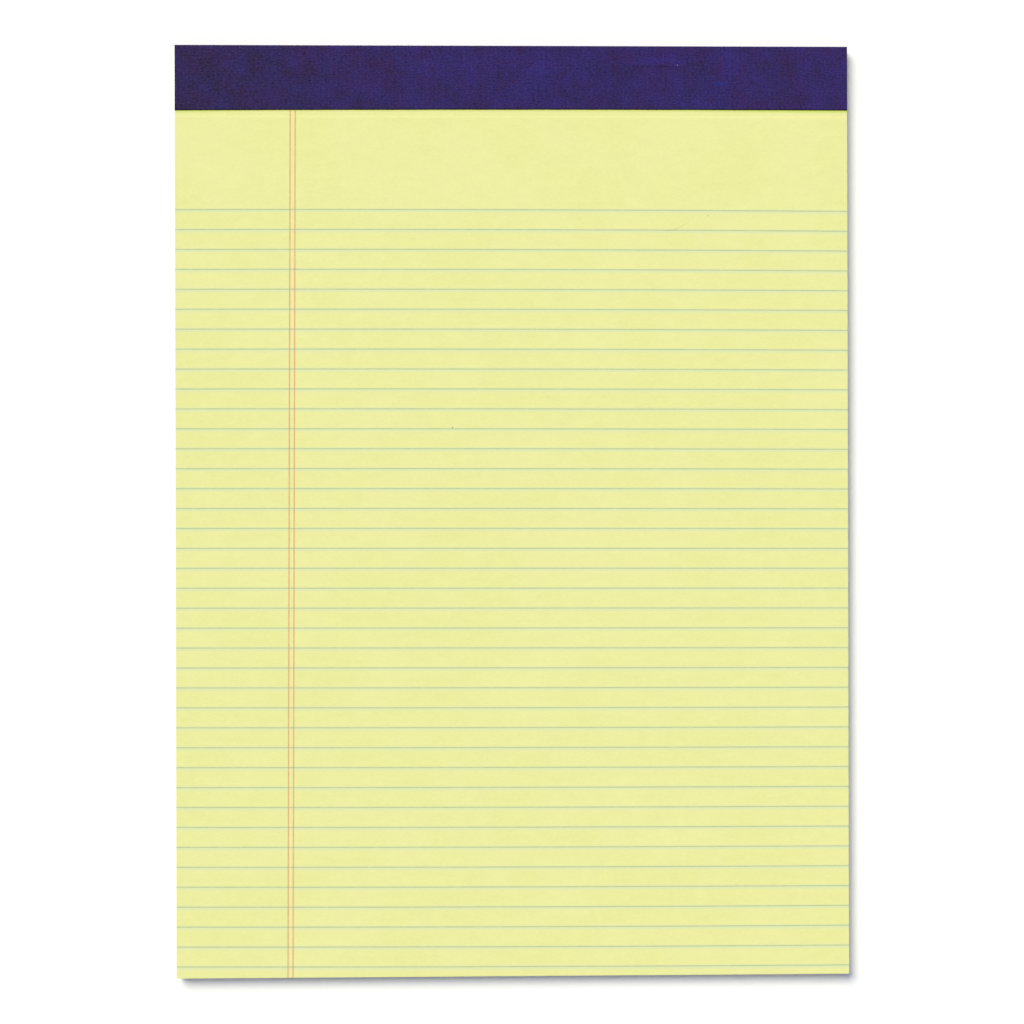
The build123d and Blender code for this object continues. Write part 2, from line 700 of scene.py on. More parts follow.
@dataclass(frozen=True, kw_only=True)
class Finish:
    """What a piece is made of: its roughness, reflection and metal, and whatever changes over its surface.

    Where the roughness changes with the grain, it is that of the hollows, beside that of the peaks.
    """

    roughness: float
    peak_roughness: float = 0.0
    specular: float
    metallic: float = 0.0

    def material(self, name: str, effects: Effects) -> Material:
        """Builds the material.

        Args:
            name: The material's name.
            effects: The shared effects.

        Returns:
            The material.
        """
        surface = Surface(name, effects)
        even = {"Roughness": self.roughness, "Specular IOR Level": self.specular, "Metallic": self.metallic}
        surface.feed(surface.shader, even)
        surface.feed(surface.shader, self.painted(surface))
        return surface.material

    def painted(self, surface: Surface) -> dict[str, Value]:
        """The shader's inputs that change over the surface.

        Args:
            surface: The material the finish is given to.

        Returns:
            For each such input, the value it gets.
        """
        raise NotImplementedError

    def uneven_roughness(self, surface: Surface, height: Value) -> Value:
        """The roughness, from the hollows of the grain to its peaks."""
        return surface.ramp(height, 0.3, 0.7, self.roughness, self.peak_roughness)


@dataclass(frozen=True)
class RuledLines:
    """Where a row of ruled lines lies on the page, for its print and for the stain beside it.

    A line runs along one axis, at a distance across it from the first line. Lean is the first line's slope in
    its middle, and bow is half of its curvature. Fan and swell are how much these grow from line to line.
    """

    along: int
    origin: tuple[float, float]
    count: int
    pitch: float
    lean: float = 0.0
    fan: float = 0.0
    bow: float = 0.0
    swell: float = 0.0

    def across(self, place: Numbers, line: Numbers) -> Numbers:
        """How far across a line has strayed from the first line's origin, at a place along it."""
        first = place * (self.lean + place * self.bow)
        return first + line * (self.pitch + place * (self.fan + place * self.swell))

    def bleed(self, surface: Surface, before: float, after: float) -> Value:
        """The mask of the stain beside the lines.

        Args:
            surface: The material's nodes.
            before: How far the stain reaches on the first line's side of each line.
            after: How far it reaches on the other side.

        Returns:
            The mask.
        """
        place = surface.parts(surface.own_place())
        x, y = place["X"] - self.origin[0], place["Y"] - self.origin[1]
        along, across = (y, x) if self.along else (x, y * -1.0)
        values = {name.capitalize(): getattr(self, name) for name in ("pitch", "lean", "fan", "bow", "swell")}
        values |= {"Along": along, "Across": across, "Before": before, "After": after}
        return surface.effect(surface.effects.line_bleed, {**values, "Last": self.count - 1.0})["Mask"]


@dataclass(frozen=True)
class Stain:
    """The faint colour beside a row of lines: how far it reaches before and after each, and its cover."""

    lines: RuledLines
    colour: Colour
    before: float
    after: float
    cover: float = 1.0

    def laid_on(self, colour: Any, surface: Surface) -> Value:
        """A surface's colour with this stain over it."""
        mask = self.lines.bleed(surface, self.before, self.after)
        return surface.mixed(mask * self.cover, colour, opaque(self.colour))


@dataclass(frozen=True)
class Mark:
    """A mark on paper or tape: its centre, half its size, its colour and cover, and how its edge fades."""

    centre: Triple
    reach: Triple
    colour: Colour
    cover: float
    core: float = 0.0
    ragged: float = 0.3

    def laid_on(self, colour: Any, surface: Surface) -> Value:
        """A surface's colour with this mark over it."""
        values = {"Centre": self.centre, "Reach": self.reach, "Core": self.core, "Ragged": self.ragged}
        mask = surface.effect(surface.effects.spot, values)["Mask"]
        return surface.mixed(mask * self.cover, colour, opaque(self.colour))


@dataclass(frozen=True, kw_only=True)
class PaperFinish(Finish):
    """Uncoated dyed paper: cloudy, fibrous and dull, with what has stained and marked it, and any shade
    painted on it.
    """

    colour: Colour = (0.7925, 0.7970, 0.3245)
    cloud_colour: Colour = (0.7985, 0.7965, 0.3400)
    roughness: float = 0.9
    peak_roughness: float = 0.8
    specular: float = 0.15
    fibre_scale: float = 1.9 / MM
    fibre_contrast: float = 0.16
    fibre_depth: float = 0.012 * MM
    cloud_scale: float = 0.06 / MM
    stains: tuple[Stain | Mark, ...] = ()

    def painted(self, surface: Surface) -> dict[str, Value]:
        """The paper's colour, roughness and grain."""
        colours = {"Colour": opaque(self.colour), "Cloud Colour": opaque(self.cloud_colour)}
        fibres = {"Fibre Scale": self.fibre_scale, "Fibre Contrast": self.fibre_contrast}
        values = {**colours, **fibres, "Cloud Scale": self.cloud_scale}
        paper = surface.effect(surface.effects.paper, values)
        colour = paper["Colour"]
        for stain in self.stains:
            colour = stain.laid_on(colour, surface)
        return {
            "Base Color": colour,
            "Roughness": self.uneven_roughness(surface, paper["Height"]),
            "Normal": surface.fine_bump(paper["Height"], self.fibre_depth),
        }


@dataclass(frozen=True, kw_only=True)
class InkFinish(PaperFinish):
    """Ruling ink sunk into dull paper: its cover varies a little along each line."""

    ink: Colour
    crossing_ink: Colour
    skip_scale: float = 0.55 / MM
    skip_contrast: float = 0.1
    thinnest: float = 0.8
    crossing_reach: float = 0.3 * MM
    under: RuledLines | None = None

    def painted(self, surface: Surface) -> dict[str, Value]:
        """The paper's grain, under an ink whose colour is another where it is printed across other lines."""
        inputs = super().painted(surface)
        skips = surface.grain(self.skip_scale, self.skip_contrast)
        cover = surface.ramp(skips["Height"], 0.36, 0.56, self.thinnest, 1.0)
        colour = surface.mixed(cover, inputs["Base Color"], opaque(self.ink))
        if self.under:
            crossing = self.under.bleed(surface, self.crossing_reach, self.crossing_reach)
            colour = surface.mixed(crossing, colour, opaque(self.crossing_ink))
        return {**inputs, "Base Color": colour}


@dataclass(frozen=True, kw_only=True)
class TapeFinish(Finish):
    """Dark dyed cloth tape with a fine, uneven weave, patchy dye, a dull sheen and shade painted along its
    front edge.

    Each swing is the colour that its pattern adds where it is strongest, and takes away where it is weakest.
    """

    colour: Colour = (0.0310, 0.0185, 0.108)
    blue_swing: Colour = (0.0120, 0.0150, 0.178)
    plum_swing: Colour = (0.0260, -0.0050, 0.0)
    thread_swing: Colour = (0.0330, 0.0270, 0.0780)
    roughness: float = 0.62
    peak_roughness: float = 0.5
    specular: float = 0.06
    thread_pitch: Triple = (1.28 * MM, 0.96 * MM, 1.0)
    thread_wander: float = 1.9
    thread_depth: float = 0.014 * MM
    dye_scale: float = 0.11 / MM
    edge_shade_colour: Colour = (0.018, 0.014, 0.004)
    edge_shade_reach: float = 0.55 * MM
    marks: tuple[Mark, ...] = ()

    def painted(self, surface: Surface) -> dict[str, Value]:
        """The tape's dye with its marks and its threads, and painted shade along its front edge."""
        flat = surface.add("ShaderNodeAttribute", attribute_name=FLAT_PLACE)["Vector"]
        values = {"Vector": flat, "Pitch": self.thread_pitch, "Wander": self.thread_wander}
        height = surface.effect(surface.effects.weave, values)["Height"]
        dye = surface.parts(surface.noise(flat, self.dye_scale, detail=3.4, roughness=0.78)["Color"] - 0.5)
        colour = opaque(self.colour)
        for mark in self.marks:
            colour = mark.laid_on(colour, surface)
        swings = (self.blue_swing, self.plum_swing, self.thread_swing)
        for pattern, swing in zip((dye["X"], dye["Y"], height - 0.5), swings):
            colour = surface.math("MULTIPLY_ADD", pattern, swing, colour)
        # Painted shade: the last half millimetre of the front edge darkens to an olive black.
        cut = surface.ramp(surface.parts(flat)["Y"], 0.2 * self.edge_shade_reach, self.edge_shade_reach, 1.0, 0.0)
        return {
            "Base Color": surface.mixed(cut, colour, opaque(self.edge_shade_colour)),
            "Roughness": self.uneven_roughness(surface, height),
            "Normal": surface.fine_bump(height, self.thread_depth),
        }


@dataclass(frozen=True, kw_only=True)
class ChipboardFinish(Finish):
    """Recycled grey-brown board, with pale fibres and dark specks pressed into it."""

    colour: Colour = (0.30, 0.257, 0.200)
    pale_colour: Colour = (0.36, 0.313, 0.250)
    speck_colour: Colour = (0.10, 0.085, 0.07)
    roughness: float = 0.9
    specular: float = 0.12
    cloud_scale: float = 0.05 / MM
    cloud_contrast: float = 0.10
    fibre_scale: float = 2.2 / MM
    fibre_contrast: float = 0.38
    fibre_depth: float = 0.02 * MM
    speck_scale: float = 0.38 / MM

    def painted(self, surface: Surface) -> dict[str, Value]:
        """The board's fibres, clouds and specks."""
        values = {"Scale": self.cloud_scale, "Contrast": self.cloud_contrast}
        clouds = surface.effect(surface.effects.mottle, values)
        fibres = surface.grain(self.fibre_scale, self.fibre_contrast, stretch=(1.0, 0.35, 1.0))
        pale = surface.ramp(fibres["Height"], 0.4, 0.62)
        colour = surface.mixed(pale, opaque(self.colour), opaque(self.pale_colour))
        colour = surface.tinted(surface.tinted(colour, clouds["Tone"]), fibres["Tone"])
        scattered = {"Vector": surface.own_place(), "Scale": self.speck_scale, "Randomness": 1.0}
        distance = surface.add("ShaderNodeTexVoronoi", scattered)["Distance"]
        speck = surface.ramp(distance, 0.03, 0.11, 0.75, 0.0)
        return {
            "Base Color": surface.mixed(speck, colour, opaque(self.speck_colour)),
            "Normal": surface.fine_bump(fibres["Height"], self.fibre_depth),
        }


@dataclass(frozen=True, kw_only=True)
class WireFinish(Finish):
    """Galvanised stitching wire, with fine draw lines round it."""

    colour: Colour = (0.56, 0.56, 0.58)
    roughness: float = 0.28
    peak_roughness: float = 0.46
    specular: float = 0.5
    metallic: float = 1.0
    line_scale: float = 6.0 / MM
    line_contrast: float = 0.25

    def painted(self, surface: Surface) -> dict[str, Value]:
        """The wire's draw lines."""
        lines = surface.grain(self.line_scale, self.line_contrast, stretch=(0.2, 1.0, 1.0))
        colour = surface.tinted(opaque(self.colour), lines["Tone"])
        return {"Base Color": colour, "Roughness": self.uneven_roughness(surface, lines["Height"])}


@dataclass(frozen=True, kw_only=True)
class FleckFinish(Finish):
    """Dirt and stray fibre caught in the paper."""

    colour: Colour = (0.26, 0.23, 0.14)
    roughness: float = 0.9
    specular: float = 0.1
    dirt_scale: float = 4.0 / MM
    dirt_contrast: float = 0.8

    def painted(self, surface: Surface) -> dict[str, Value]:
        """The dirt's uneven colour."""
        dirt = surface.grain(self.dirt_scale, self.dirt_contrast)
        return {"Base Color": surface.tinted(opaque(self.colour), dirt["Tone"])}


# ---- Geometry node trees ----


def grown(name: str, tree: Tree, values: dict[str, Any]) -> Piece:
    """Makes a piece from a geometry node tree, as a plain mesh with no modifier.

    Args:
        name: The piece's name.
        tree: The tree.
        values: The tree's inputs, by name.

    Returns:
        The piece.
    """
    piece = object_of(name, bpy.data.meshes.new(name))
    modifier = piece.modifiers.new(name, "NODES")
    modifier.node_group = tree
    for item in tree.interface.items_tree:
        if item.in_out == "INPUT":
            modifier[item.identifier] = values[item.name]
    graph = bpy.context.evaluated_depsgraph_get()
    mesh = bpy.data.meshes.new_from_object(piece.evaluated_get(graph))
    piece.modifiers.clear()
    piece.data = mesh
    mesh.name = name
    return piece


def row_tree(group: Group, thing: Made, step: Value, shift: Value, **placed: Value) -> Tree:
    """Finishes a tree that repeats a thing along a row, moves its vertices a little and dresses them.

    Args:
        group: The tree, with inputs named Count and Material.
        thing: What is repeated.
        step: From each place in the row to the next.
        shift: How far each vertex moves.
        **placed: How each one is turned and stretched.

    Returns:
        The tree.
    """
    given = group.given
    row = group.add("GeometryNodeMeshLine", {"Count": given["Count"], "Offset": step})
    repeated = group.add("GeometryNodeInstanceOnPoints", {"Points": row[0], "Instance": thing[0], **placed})
    real = group.add("GeometryNodeRealizeInstances", {"Geometry": repeated[0]})
    moved = group.add("GeometryNodeSetPosition", {"Geometry": real[0], "Offset": shift})
    dressed = group.add("GeometryNodeSetMaterial", {"Geometry": moved[0], "Material": given["Material"]})
    return group.put_out(geometry=dressed[0])


def bar_row_tree() -> Tree:
    """A row of thin bars along X, stepped back along Y, whose edges waver: ruled lines."""
    floats = ["Pitch", "Length", "Width", "Thickness", "Waver"]
    inputs = {"Int": ["Count", "Segments"], "Float": floats, "Material": ["Material"]}
    group = Group("ruled_lines", inputs, {"Geometry": ["Geometry"]}, kind="Geometry")
    given = group.given
    size = group.joined(given["Length"], given["Width"], given["Thickness"])
    cuts = {"Vertices X": given["Segments"], "Vertices Y": 2, "Vertices Z": 2}
    bar = group.add("GeometryNodeMeshCube", {"Size": size, **cuts})
    place = group.add("GeometryNodeInputPosition")[0]
    noise = group.noise(place * (900.0, 30000.0, 0.0))[0]
    shift = group.joined(y=(noise - 0.5) * given["Waver"])
    return row_tree(group, bar, group.joined(y=given["Pitch"] * -1.0), shift)


def leaf_stack_tree() -> Tree:
    """A stack of loose sheets held at the head: each is turned, stretched and ruffled a little, by chance."""
    floats = ["Pitch", "Width", "Length", "Thickness", "Turn", "Growth", "Ruffle"]
    inputs = {"Int": ["Count", "Seed"], "Float": floats, "Material": ["Material"]}
    group = Group("leaf_stack", inputs, {"Geometry": ["Geometry"]}, kind="Geometry")
    given = group.given
    size = group.joined(given["Width"], given["Length"], given["Thickness"])
    cuts = {"Vertices X": 17, "Vertices Y": 31, "Vertices Z": 2}
    leaf = group.add("GeometryNodeMeshCube", {"Size": size, **cuts})
    back = group.joined(y=given["Length"] * -0.5)
    hung = group.add("GeometryNodeTransform", {"Geometry": leaf[0], "Translation": back})

    def chance(low: Value, high: Any, seed: Value) -> Value:
        """A random vector for each leaf."""
        inputs = {0: low, 1: high, "Seed": seed}
        return group.add("FunctionNodeRandomValue", inputs, data_type="FLOAT_VECTOR")[0]

    turn = chance(group.joined(z=given["Turn"] * -1.0), group.joined(z=given["Turn"]), given["Seed"])
    least = 1.0 - given["Growth"]
    scale = chance(group.joined(least, least, 1.0), (1.0, 1.0, 1.0), given["Seed"] + 1.0)
    noise = group.noise(group.add("GeometryNodeInputPosition")[0] * (16.0, 16.0, 9000.0), detail=1.0)["Color"]
    ruffle = (noise - 0.5) * group.joined(given["Ruffle"], given["Ruffle"])
    return row_tree(group, hung, group.joined(z=given["Pitch"]), ruffle, Rotation=turn, Scale=scale)


# ---- The sheets ----


@dataclass
class PageShape:
    """How the sheets lie: pressed down between the tape and the perforation, and slightly wavy below it."""

    pad: PadFrame
    perforation_from_head: float = 22.2 * MM
    wave_height: float = 0.05 * MM
    wave_pitch: float = 90 * MM
    wave_bias: float = 0.6
    free_from: float = 0.2
    corner_from: float = 0.62
    right_lift: float = 0.16 * MM
    left_lift: float = 0.09 * MM
    strip_drop: float = 0.10 * MM
    strip_fall: float = 0.5 * MM
    strip_climb: float = 0.9 * MM
    edge_bow: float = 0.26 * MM
    edge_lean: float = 0.42 * MM
    edge_rise: float = 0.40 * MM
    edge_waver: float = 0.025 * MM
    edge_waver_pitch: float = 14 * MM

    @property
    def perforation(self) -> float:
        """The Y of the perforation."""
        return self.pad.head - self.perforation_from_head

    def edge_drift(self, x: Numbers) -> Numbers:
        """How far the tape's front edge strays below its line: the cut bows, and drops towards the left."""
        across = self.pad.share_across(x)
        bow = self.edge_bow * (2 * across - 1) ** 2 - self.edge_rise + self.edge_lean * (1 - across)
        return bow + self.edge_waver * waves(x, x * 0, self.edge_waver_pitch, seed=21)

    def rise(self, x: Numbers, y: Numbers) -> Numbers:
        """How far the loose sheets rise above the flat stack: in waves, and more at the lower corners.

        Args:
            x: Places across the pad, in metres.
            y: Places up the pad, in metres.

        Returns:
            The rise at each place, in metres.
        """
        across = self.pad.share_across(x)
        down = (self.pad.tape_edge - y) / (self.pad.tape_edge - self.pad.tail)
        free = smooth_step(down, 0.0, self.free_from)
        corner = np.clip((down - self.corner_from) / (1 - self.corner_from), 0, None) ** 2
        left, right = smooth_step(1 - across, 0.2, 1.0), smooth_step(across, 0.3, 1.0)
        wavy = self.wave_height * (self.wave_bias + waves(x, y, self.wave_pitch, seed=5))
        return free * wavy + corner * (self.left_lift * left + self.right_lift * right)

    def page_rise(self, x: Numbers, y: Numbers) -> Numbers:
        """How far the first page rises, less the strip pressed down between the tape and the perforation."""
        drop = self.strip_drop * between(self.pad.share_across(x), 0.75, 1.0)
        fall = smooth_step(self.pad.tape_edge - self.edge_drift(x) - y, 0.0, self.strip_fall)
        climb = smooth_step(self.perforation - y, -0.1 * MM, self.strip_climb)
        return self.rise(x, y) - drop * fall * (1 - climb)

    def inside_fold(self, mesh: Mesh) -> Numbers:
        """The places of a mesh's vertices, none of them beyond the fold of the tape."""
        places = places_of(mesh)
        places[:, 1] = np.minimum(places[:, 1], self.pad.fold_reach(places[:, 2]))
        return places

    def settle(self, mesh: Mesh) -> None:
        """Lays the leaves as they lie below the page: the uppermost rises most, and the last not at all.

        Args:
            mesh: The mesh of the leaves, still flat.
        """
        places = self.inside_fold(mesh)
        depth = (places[:, 2] - self.pad.board_top) / (self.pad.page - self.pad.board_top)
        places[:, 2] += self.rise(places[:, 0], places[:, 1]) * np.clip(depth, 0, None) ** 3
        move_vertices(mesh, places)

    def lay_on_page(self, mesh: Mesh) -> None:
        """Lays a mesh made for a flat page on the first page as it lies."""
        places = self.inside_fold(mesh)
        places[:, 2] += self.page_rise(places[:, 0], places[:, 1])
        move_vertices(mesh, places)


@dataclass
class SubAssembly:
    """A part of the pad, which reads its places from the frame and whose finishes share their effects."""

    pad: PadFrame
    shape: PageShape
    effects: Effects

    def build(self) -> list[Piece]:
        """Builds and dresses the pieces."""
        raise NotImplementedError


@dataclass
class SheetStack(SubAssembly):
    """The fifty sheets: the first page with its perforation, and the leaves below it."""

    stains: tuple[Stain, ...] = ()
    leaf_count: int = 50
    gap_share: float = 0.06
    cut_pitch: float = 0.8 * MM
    cut_length: float = 0.55 * MM
    cut_width: float = 0.025 * MM
    row_step: float = 6 * MM
    near_step: float = 0.2 * MM
    leaf_turn: float = math.radians(0.02)
    leaf_growth: float = 0.0004
    leaf_ruffle: float = 0.08 * MM
    leaf_inset: float = 0.06 * MM
    seed: int = 11
    seep_and_shade_colour: Colour = (0.700, 0.760, 0.215)
    glue_and_shade_colour: Colour = (0.625, 0.735, 0.155)
    glue_and_shade_reach: float = 1.0 * MM

    @property
    def glue_and_shade(self) -> list[Stain | Mark]:
        """The faint line of seeped adhesive and painted shade along the tape's edge, and more of both at the
        tape's two ends.
        """
        pad = self.pad
        # Partly seeped adhesive, partly painted shade: darker, yellower paper just below the tape.
        line = RuledLines(along=0, origin=(0.0, pad.tape_edge + 0.1 * MM), count=1, pitch=1.0)
        glue_and_shade = [Stain(line, self.seep_and_shade_colour, before=0.5 * MM, after=0.95 * MM, cover=0.8)]
        # At each end, partly adhesive and partly painted shade, reaching farther on the right.
        for x, reach, cover in ((pad.left, 30 * MM, 0.6), (pad.right, 60 * MM, 0.85)):
            edge = pad.tape_edge - float(self.shape.edge_drift(np.array(x)))
            size = (reach, self.glue_and_shade_reach, MARK_DEPTH)
            glue_and_shade.append(Mark((x, edge, pad.page), size, self.glue_and_shade_colour, cover, core=0.3))
        return glue_and_shade

    @property
    def leaf_pitch(self) -> float:
        """The thickness of one sheet and its share of air."""
        return (self.pad.page - self.pad.board_top) / self.leaf_count

    @property
    def leaf_thickness(self) -> float:
        """The thickness of one sheet."""
        return self.leaf_pitch * (1 - self.gap_share)

    def first_page(self, paper: Material) -> Piece:
        """Builds the first page, with a real cut for each tooth of the perforation.

        Args:
            paper: Its finish.

        Returns:
            The piece.
        """
        pad = self.pad
        tie = self.cut_pitch - self.cut_length
        count = int((pad.width - tie) / self.cut_pitch)
        starts = (np.arange(count) - (count - 1) / 2) * self.cut_pitch - self.cut_length / 2
        xs = np.sort(np.concatenate([[pad.left], starts, starts + self.cut_length, [pad.right]]))
        row_y = self.shape.perforation
        near = row_y + (np.arange(-7, 12) + 0.5) * self.near_step
        cut = row_y + np.array([-0.5, 0.5]) * self.cut_width
        below = np.linspace(pad.tail, near[0], round((near[0] - pad.tail) / self.row_step))[:-1]
        above = np.linspace(near[-1], pad.head, 6)[1:]
        ys = np.sort(np.concatenate([below, near, cut, above]))
        x, y = np.meshgrid(xs, ys, indexing="ij")
        upper = np.stack([x, y, np.full_like(x, pad.page)], axis=-1)
        solid = np.ones((len(xs) - 1, len(ys) - 1), bool)
        solid[1:-1:2, np.searchsorted(ys, cut[0])] = False
        piece = new_object("first_page", *closed_skin(upper, upper - (0, 0, self.leaf_thickness), solid))
        slab_map(piece.data, Face.UPPER)
        self.shape.lay_on_page(piece.data)
        dress(piece, paper)
        return piece

    def leaves(self, paper: Material) -> Piece:
        """Builds the leaves under the first page.

        Args:
            paper: Their finish.

        Returns:
            The piece.
        """
        count = self.leaf_count - 1
        width, length = self.pad.width - 2 * self.leaf_inset, self.pad.length - self.leaf_inset
        stack = {"Count": count, "Pitch": self.leaf_pitch, "Seed": self.seed, "Material": paper}
        size = {"Width": width, "Length": length, "Thickness": self.leaf_thickness}
        chance = {"Turn": self.leaf_turn, "Growth": self.leaf_growth, "Ruffle": self.leaf_ruffle}
        piece = grown("leaves", leaf_stack_tree(), {**stack, **size, **chance})
        mesh = piece.data
        places = places_of(mesh)
        leaf = np.clip(np.round(places[:, 2] / self.leaf_pitch), 0, count - 1).astype(int)
        self.map_leaves(mesh, leaf, count)
        move_vertices(mesh, places + (0, self.pad.head, self.pad.board_top + self.leaf_thickness / 2))
        self.shape.settle(mesh)
        soften(mesh)
        return piece

    def map_leaves(self, mesh: Mesh, leaf: Numbers, count: int) -> None:
        """Maps the leaves: a band for each side of each leaf, and one corner for all the hidden faces.

        Args:
            mesh: The leaves' mesh.
            leaf: Each vertex's leaf, counted from 0.
            count: How many leaves there are.
        """
        at = Corners(mesh)
        x, y, _ = at.share.T
        farther = np.where(at.sideways, at.facing[:, 0], at.facing[:, 1]) > 0
        side = 2 * at.sideways + farther
        height = (at.places[:, 2] - leaf * self.leaf_pitch > 0)[at.vertex]
        band = (side * count + leaf[at.vertex] + between(height, 0.15, 0.85)) / (4 * count)
        edge_across = between(np.where(at.sideways, y, x), 0.02, 0.99)
        at.lay_map(np.where(at.broad, 0.01 * x, edge_across), np.where(at.broad, 0.01 * y, band))

    def build(self) -> list[Piece]:
        """Builds and dresses the sheets, which together stand for the frame's block of sheets."""
        page = PaperFinish(stains=(*self.glue_and_shade, *self.stains)).material("canary_page", self.effects)
        loose = PaperFinish(cloud_scale=0.3 / MM).material("canary_leaves", self.effects)
        pieces = [self.first_page(page), self.leaves(loose)]
        return [hand_over(piece, "sheets") for piece in pieces]


# ---- The print ----


@dataclass
class Ruling(SubAssembly):
    """The printed lines: thin, closed slips of ink on the first page, a little out of square with it."""

    rule_count: int = 39
    rule_pitch: float = 6.3926 * MM
    first_rule: float = 52.49 * MM
    first_lean: float = math.radians(0.09)
    last_lean: float = math.radians(0.234)
    first_sag: float = 0.272 * MM
    last_sag: float = -0.24 * MM
    margin_middle: float = 37.0 * MM
    margin_gap: float = 1.6 * MM
    margin_lean: float = math.radians(0.27)
    margin_overlap: float = 0.3 * MM
    line_width: float = 0.34 * MM
    ink_height: float = 0.016 * MM
    margin_lift: float = 0.004 * MM
    rule_step: float = 1.0 * MM
    margin_step: float = 0.2 * MM
    waver: float = 0.07 * MM
    blue_ink: Colour = (0.50, 0.565, 0.275)
    red_ink: Colour = (0.72, 0.41, 0.18)
    crossing_ink: Colour = (0.48, 0.37, 0.16)
    blue_stain: Colour = (0.680, 0.765, 0.445)
    red_stain: Colour = (0.785, 0.630, 0.290)

    @property
    def rules(self) -> RuledLines:
        """Where the blue rules lie."""
        steps = self.rule_count - 1
        lean, last_lean = math.tan(self.first_lean), math.tan(self.last_lean)
        bow, last_bow = (sag / (self.pad.width / 2) ** 2 for sag in (self.first_sag, self.last_sag))
        return RuledLines(
            along=0,
            origin=((self.pad.left + self.pad.right) / 2, self.pad.head - self.first_rule),
            count=self.rule_count,
            pitch=self.rule_pitch,
            lean=lean,
            fan=(last_lean - lean) / steps,
            bow=bow,
            swell=(last_bow - bow) / steps,
        )

    @property
    def margin_top(self) -> float:
        """The Y of the margin lines' upper ends, under the tape."""
        return self.pad.tape_edge + self.margin_overlap

    @property
    def margin(self) -> RuledLines:
        """Where the red margin lines lie."""
        first_x = self.pad.left + self.margin_middle - self.margin_gap / 2
        origin = (first_x, (self.margin_top + self.pad.tail) / 2)
        return RuledLines(1, origin, count=2, pitch=self.margin_gap, lean=math.tan(self.margin_lean))

    @property
    def stains(self) -> tuple[Stain, ...]:
        """The stain that each row of lines leaves in the page."""
        return (
            Stain(self.rules, self.blue_stain, before=0.7 * MM, after=1.5 * MM),
            Stain(self.margin, self.red_stain, before=0.45 * MM, after=0.45 * MM),
        )

    def print_lines(
        self, name: str, ink: Material, lines: RuledLines, length: float, step: float, lift: float = 0.0
    ) -> Piece:
        """Grows a row of ink slips and lays them on the first page.

        Args:
            name: The piece's name.
            ink: Their material.
            lines: Where the lines lie.
            length: How long each line is.
            step: The length of each of its segments.
            lift: How far they lie above the page, apart from their own height.

        Returns:
            The piece.
        """
        row = {"Count": lines.count, "Pitch": lines.pitch, "Waver": self.waver, "Material": ink}
        size = {"Length": length, "Width": self.line_width, "Thickness": self.ink_height}
        piece = grown(name, bar_row_tree(), {**row, **size, "Segments": 1 + round(length / step)})
        straight = places_of(piece.data)
        along, below = straight[:, 0], -straight[:, 1]
        line = np.clip(np.round(below / lines.pitch), 0, lines.count - 1).astype(int)
        across = below - line * lines.pitch + lines.across(along, line)
        places = np.empty_like(straight)
        places[:, lines.along] = lines.origin[lines.along] + along
        places[:, 1 - lines.along] = lines.origin[1 - lines.along] + (across if lines.along else -across)
        places[:, 2] = straight[:, 2] + self.pad.page + lift
        move_vertices(piece.data, places)
        band_map(piece.data, line, lines.count, lines.along)
        self.shape.lay_on_page(piece.data)
        return hand_over(piece)

    def build(self) -> list[Piece]:
        """Builds and dresses the blue rules, edge to edge, and the red margin, from the tape to the tail."""
        pad, crossing = self.pad, self.crossing_ink
        blue = InkFinish(ink=self.blue_ink, crossing_ink=crossing).material("blue_ink", self.effects)
        red_finish = InkFinish(ink=self.red_ink, crossing_ink=crossing, under=self.rules)
        red = red_finish.material("red_ink", self.effects)
        reach = self.margin_top - pad.tail
        return [
            self.print_lines("blue_rules", blue, self.rules, pad.width, self.rule_step),
            self.print_lines("red_margin", red, self.margin, reach, self.margin_step, self.margin_lift),
        ]


@dataclass(frozen=True)
class Fleck:
    """A speck in the paper: its place from the middle and the head, and half its size."""

    across: float
    from_head: float
    half_width: float
    half_length: float


